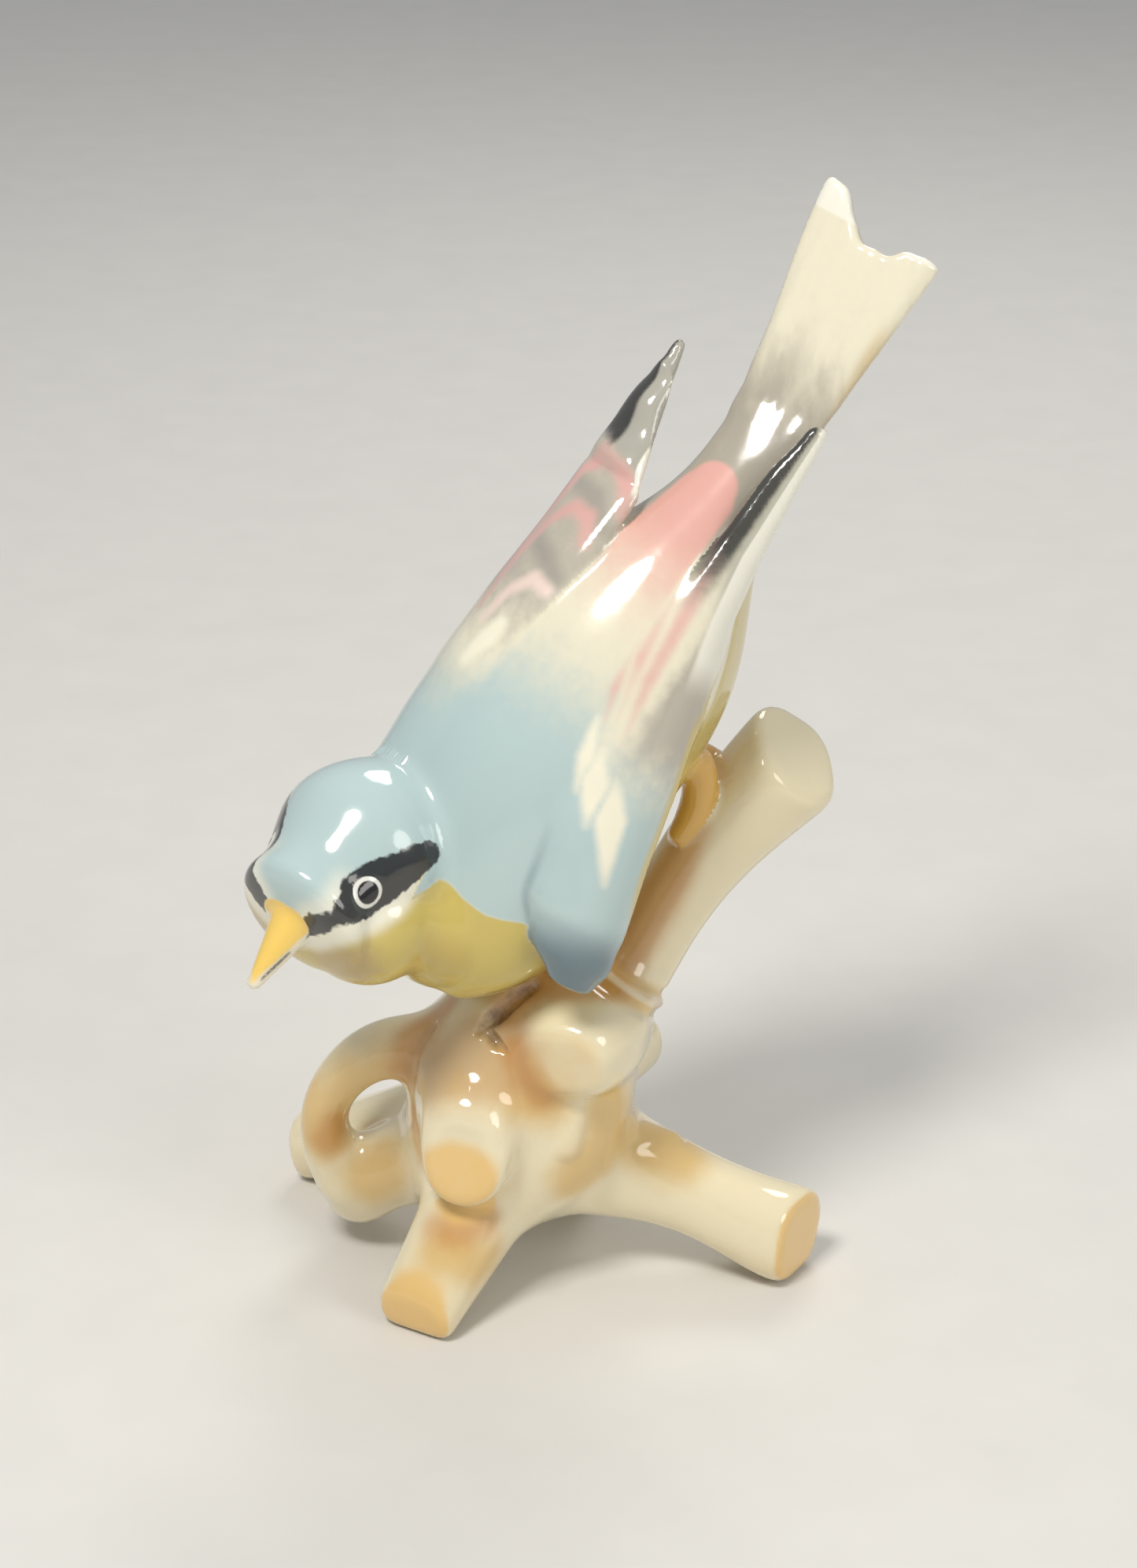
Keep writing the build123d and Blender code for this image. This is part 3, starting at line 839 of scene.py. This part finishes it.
def make_piece(name, quads, points, normals, attributes, material):
    """A closed mesh for one node: its share of the skin, and a hidden cap on each border."""
    used, index = np.unique(quads, return_inverse=True)
    index = index.reshape(quads.shape)
    place = points[used]
    skin_faces = len(index)
    caps, cap_faces = rim_caps(place, index)
    faces = index.tolist() + cap_faces
    if caps:
        place = np.vstack([place, caps])
    mesh = bpy.data.meshes.new(name)
    mesh.from_pydata((place * MM).tolist(), [], faces)
    smooth = np.zeros(len(faces), bool)
    smooth[:skin_faces] = True
    mesh.polygons.foreach_set("use_smooth", smooth)
    corner = np.zeros((len(mesh.loops), 3))
    corner[: skin_faces * 4] = normals[quads.ravel()]
    mesh.normals_split_custom_set(corner.tolist())
    for key, values in attributes.items():
        layer = mesh.attributes.new(key, "FLOAT", "POINT")
        share = np.zeros(len(place), np.float32)
        share[: len(used)] = values[used]
        layer.data.foreach_set("value", share)
    mesh.materials.append(material)
    piece = bpy.data.objects.new(f"{name}_glazed", mesh)
    bpy.context.scene.collection.objects.link(piece)
    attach(piece, "root")
    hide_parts(name)
    return piece


# ---------------------------------------------------------------- glaze materials
def tone(red, green, blue):
    """A display colour, 0 to 255, as the linear colour that a shader takes."""
    parts = []
    for part in (red, green, blue):
        part /= 255
        parts.append(part / 12.92 if part <= 0.04045 else ((part + 0.055) / 1.055) ** 2.4)
    return (*parts, 1.0)


class Glaze:
    """A glossy glaze over layers of paint, which are laid on one after another."""

    def __init__(self, name, base):
        self.material = bpy.data.materials.new(name)
        self.material.use_nodes = True
        self.nodes = self.material.node_tree.nodes
        self.links = self.material.node_tree.links
        self.nodes.clear()
        self.output = self.nodes.new("ShaderNodeOutputMaterial")
        self.shader = self.nodes.new("ShaderNodeBsdfPrincipled")
        self.links.new(self.shader.outputs["BSDF"], self.output.inputs["Surface"])
        self.place = self.nodes.new("ShaderNodeTexCoord").outputs["Object"]
        first = self.noise(90, 2)
        self.colour = self.mix(first, base, tuple(0.93 * part for part in base[:3]) + (1.0,))

    def noise(self, scale, detail, stretch=(1, 1, 1), turn=(0, 0, 0)):
        """A noise value over the surface; scale is per metre."""
        mapping = self.nodes.new("ShaderNodeMapping")
        mapping.inputs["Rotation"].default_value = turn
        mapping.inputs["Scale"].default_value = [scale * part for part in stretch]
        self.links.new(self.place, mapping.inputs["Vector"])
        texture = self.nodes.new("ShaderNodeTexNoise")
        texture.inputs["Scale"].default_value = 1.0
        texture.inputs["Detail"].default_value = detail
        self.links.new(mapping.outputs["Vector"], texture.inputs["Vector"])
        return texture.outputs["Fac"]

    def mix(self, factor, under, over):
        """under where factor is 0 and over where it is 1."""
        node = self.nodes.new("ShaderNodeMix")
        node.data_type = "RGBA"
        self.links.new(factor, node.inputs["Factor"])
        for slot, value in (("A", under), ("B", over)):
            socket = [s for s in node.inputs if s.name == slot and s.type == "RGBA"][0]
            if isinstance(value, tuple):
                socket.default_value = value
            else:
                self.links.new(value, socket)
        return [s for s in node.outputs if s.type == "RGBA"][0]

    def sum(self, first, second, scale):
        """The first value plus the second one times the scale."""
        node = self.nodes.new("ShaderNodeMath")
        node.operation = "MULTIPLY_ADD"
        self.links.new(second, node.inputs[0])
        node.inputs[1].default_value = scale
        self.links.new(first, node.inputs[2])
        return node.outputs[0]

    def span(self, value, low, high, bottom, top):
        """value mapped smoothly from low..high to bottom..top."""
        node = self.nodes.new("ShaderNodeMapRange")
        node.interpolation_type = "SMOOTHSTEP"
        for key, number in (("From Min", low), ("From Max", high), ("To Min", bottom), ("To Max", top)):
            node.inputs[key].default_value = number
        self.links.new(value, node.inputs["Value"])
        return node.outputs["Result"]

    def mask(self, attribute, none, full, strength=1.0, wobble=0.0, grain=700, streak=None):
        """0 where the attribute is at none and strength at full, its edge stirred by noise."""
        node = self.nodes.new("ShaderNodeAttribute")
        node.attribute_name = attribute
        value = node.outputs["Fac"]
        if wobble:
            texture = streak if streak is not None else self.noise(grain, 3)
            middle = self.span(texture, 0.25, 0.75, -1.0, 1.0)
            value = self.sum(value, middle, wobble)
        return self.span(value, none, full, 0.0, strength)

    def lay(self, colour, attribute, none, full, strength=1.0, wobble=0.0, grain=700, streak=None):
        """Paints a colour where the attribute says."""
        factor = self.mask(attribute, none, full, strength, wobble, grain, streak)
        self.colour = self.mix(factor, self.colour, colour)

    def finish(self, bump, roughness):
        """Joins the colour, the wavy glaze and its small changes of gloss to the shader."""
        self.links.new(self.colour, self.shader.inputs["Base Color"])
        gloss = self.span(self.noise(160, 4), 0.3, 0.7, roughness[0], roughness[1])
        self.links.new(gloss, self.shader.inputs["Roughness"])
        waves = self.nodes.new("ShaderNodeBump")
        waves.inputs["Strength"].default_value = bump
        waves.inputs["Distance"].default_value = 0.0004
        self.links.new(self.noise(260, 3), waves.inputs["Height"])
        self.links.new(waves.outputs["Normal"], self.shader.inputs["Normal"])
        self.shader.inputs["IOR"].default_value = 1.52
        self.shader.inputs["Coat Weight"].default_value = 0.6
        self.shader.inputs["Coat Roughness"].default_value = 0.04
        return self.material


def bird_glaze():
    """Airbrushed blue, yellow, rose and grey on cream, with the black marks on top."""
    g = Glaze("bird_glaze", tone(238, 231, 206))
    streak = g.noise(520, 3, stretch=(1.0, 1.0, 0.08), turn=(0.0, -0.4, 0.3))
    yellow = tone(206, 185, 98)
    g.lay(yellow, "belly", 0.05, 0.85)
    g.lay(tone(170, 128, 58), "cheek", 0.3, 1.2, strength=0.25)
    g.lay(tone(186, 160, 112), "throat", 0.1, 1.0, strength=0.8, wobble=0.1)
    g.lay(tone(240, 232, 204), "patch", 0.2, 0.8, strength=0.9, wobble=0.2)
    g.lay(tone(166, 158, 144), "tail_grey", 0.0, 1.0, strength=0.9, wobble=0.16, streak=streak)
    g.lay(tone(196, 160, 84), "gold_edge", 0.2, 1.0, strength=0.6)
    g.lay(tone(168, 160, 150), "grey_wing", 0.0, 1.0, strength=0.75, wobble=0.12)
    g.lay(tone(184, 205, 204), "blue", 0.05, 0.95, wobble=0.06)
    g.lay(tone(92, 112, 122), "slate", 0.1, 1.0, strength=0.9)
    g.lay(yellow, "wing_flank", 0.05, 0.85)
    g.lay(tone(120, 118, 116), "smudge", 1.4, -0.6, strength=0.4, wobble=0.2)
    g.lay(tone(232, 174, 162), "rump", 0.0, 1.1, strength=0.95, wobble=0.05)
    g.lay(tone(226, 174, 166), "pink", 0.8, -0.7, strength=0.9, wobble=0.08)
    g.lay(tone(240, 216, 204), "pale_arc", 0.8, -0.5, strength=0.95, wobble=0.06)
    g.lay(tone(246, 241, 218), "spot", 0.8, -0.5, wobble=0.06)
    g.lay(tone(168, 168, 158), "grey_band", 0.1, 0.8, strength=0.7)
    g.lay(tone(38, 40, 40), "black_tip", 0.1, 1.0, strength=0.95, wobble=0.06)
    g.lay(tone(244, 241, 226), "rim", 0.35, 0.65, strength=0.95)
    g.lay(tone(243, 240, 222), "white_band", 0.0, 1.0, strength=0.95)
    g.lay(tone(30, 31, 33), "stripe", 0.22, -0.12, strength=0.97, wobble=0.16, grain=1300)
    g.lay(tone(232, 232, 222), "eye", EYE_RADIUS + 0.12, EYE_RADIUS - 0.06)
    g.lay(tone(20, 20, 22), "eye", EYE_RADIUS - EYE_RING + 0.10, EYE_RADIUS - EYE_RING - 0.08)
    g.lay(tone(240, 232, 208), "beak", 0.2, 0.8)
    g.lay(tone(246, 206, 96), "culmen", 0.1, 0.9, strength=0.95, wobble=0.08)
    g.lay(tone(60, 48, 40), "mouth", 0.28, 0.0, strength=0.85)
    g.lay(tone(222, 172, 84), "foot", 0.2, 0.8, strength=0.85)
    return g.finish(0.10, (0.10, 0.17))


def stump_glaze():
    """Ivory glaze, toned tan and orange-brown in the hollows and on the sawn ends, with painted shade under
    the front stub, beneath the bird and in the crevices.
    """
    g = Glaze("stump_glaze", tone(239, 227, 192))
    g.lay(tone(216, 190, 136), "hollow", 0.0, 1.0, strength=0.85)
    # Tan towards the bottom of the stump.
    g.lay(tone(226, 200, 150), "lower_tan", 0.2, 1.2, strength=0.35, wobble=0.25, grain=200)
    g.lay(tone(218, 182, 112), "tan", 0.0, 1.0, strength=0.85, wobble=0.06, grain=300)
    g.lay(tone(204, 172, 126), "rose", 0.0, 1.0, strength=0.9, wobble=0.06, grain=300)
    # Brown washes, partly painted shade under the front stub and under the bird.
    g.lay(tone(196, 136, 62), "brown", 0.0, 1.0, strength=0.7, wobble=0.06, grain=300)
    g.lay(tone(232, 190, 112), "facet", 0.0, 1.0, strength=0.88, wobble=0.10, grain=250)
    g.lay(tone(240, 228, 200), "pale_ring", 0.6, 0.1, strength=0.75)
    # Dark brown in the crevices: partly their own colour, partly painted shade deep in the cuts.
    g.lay(tone(84, 52, 32), "crevice", 0.7, 0.0, strength=0.95, wobble=0.15)
    return g.finish(0.08, (0.09, 0.15))


# ---------------------------------------------------------------- the figurine
cad_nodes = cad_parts
fields = {name: node_field(name, node) for name, node in cad_nodes.items()}
skin = skin_field(fields)
points, quads = outer_shell(*polygonise(skin))
bulk = Field(skin.low, skin.shape, soften(skin.values, HOLLOW_SCALE))
hollow = bulk.sample(points)
normals = vertex_normals(points, quads)
points = points + normals * relief(points)[:, None]
normals = vertex_normals(points, quads)

near = distances(points, fields)
centres = points[quads].mean(1)
names = list(fields)
face_label = np.argmin(list(distances(centres, fields).values()), axis=0)
face_label = tidy_labels(quads, face_label, len(names), len(points))

bird_layers = bird_paint(points, normals, near)
stump_layers = stump_paint(points, normals, near, hollow)
bird_material = bird_glaze()
stump_material = stump_glaze()
for number, name in enumerate(names):
    share = quads[face_label == number]
    if name in BIRD_NODES:
        make_piece(name, share, points, normals, bird_layers, bird_material)
    else:
        make_piece(name, share, points, normals, stump_layers, stump_material)


# ---------------------------------------------------------------- floor, light and camera
# Metres and watts. Each lamp has its place, the width of its disc and its power.
LAMPS = {
    "key": ((-0.16, -0.26, 0.52), 0.16, 2.0),
    "fill": ((0.42, -0.35, 0.30), 0.28, 0.8),
    "back": ((0.10, 0.40, 0.45), 0.25, 0.8),
}
LIT_POINT = (0.0, 0.0, 0.05)
LAMP_COLOUR = (1.0, 0.97, 0.92)
SKY_COLOUR = (0.80, 0.82, 0.85, 1.0)
SKY_STRENGTH = 0.45
FLOOR_HALF_WIDTH = 1.6
AIM_HEIGHT = 0.060
CAMERA_DISTANCE = 0.360
CAMERA_TILT = math.radians(24)
CAMERA_LENS = 79.4
CAMERA_SENSOR = 36


def make_floor():
    """A plain pale table top."""
    mesh = bpy.data.meshes.new("floor")
    side = FLOOR_HALF_WIDTH
    corners = [(-side, -side, 0), (side, -side, 0), (side, side, 0), (-side, side, 0)]
    mesh.from_pydata(corners, [], [(0, 1, 2, 3)])
    floor = bpy.data.objects.new("floor", mesh)
    bpy.context.scene.collection.objects.link(floor)
    g = Glaze("floor_paper", tone(226, 224, 219))
    mesh.materials.append(g.finish(0.05, (0.75, 0.85)))
    g.shader.inputs["Coat Weight"].default_value = 0.0


def soft_light(name, place, size, power):
    """A round studio lamp aimed at the figurine."""
    light = bpy.data.lights.new(name, "AREA")
    light.shape = "DISK"
    light.size = size
    light.energy = power
    light.color = LAMP_COLOUR
    lamp = bpy.data.objects.new(name, light)
    lamp.location = place
    lamp.rotation_euler = (Vector(LIT_POINT) - Vector(place)).to_track_quat("-Z", "Y").to_euler()
    bpy.context.scene.collection.objects.link(lamp)


def make_world():
    """Even pale surroundings."""
    world = bpy.data.worlds.new("studio")
    world.use_nodes = True
    background = world.node_tree.nodes["Background"]
    background.inputs["Color"].default_value = SKY_COLOUR
    background.inputs["Strength"].default_value = SKY_STRENGTH
    bpy.context.scene.world = world


def make_camera():
    """Looks slightly down at the figurine from the front, as across a table."""
    target = Vector(STUMP_CENTRE * MM) + Vector((0, 0, AIM_HEIGHT))
    away = Vector((0, -math.cos(CAMERA_TILT), math.sin(CAMERA_TILT)))
    place = target + CAMERA_DISTANCE * away
    lens = bpy.data.cameras.new("camera")
    lens.lens = CAMERA_LENS
    lens.sensor_fit = "VERTICAL"
    lens.sensor_height = CAMERA_SENSOR
    lens.clip_start = 0.01
    camera = bpy.data.objects.new("camera", lens)
    camera.location = place
    camera.rotation_euler = (target - place).to_track_quat("-Z", "Y").to_euler()
    bpy.context.scene.collection.objects.link(camera)
    bpy.context.scene.camera = camera


make_floor()
make_world()
for lamp_name, (lamp_place, lamp_size, lamp_power) in LAMPS.items():
    soft_light(lamp_name, lamp_place, lamp_size, lamp_power)
make_camera()
bpy.context.scene.view_settings.view_transform = "Standard"
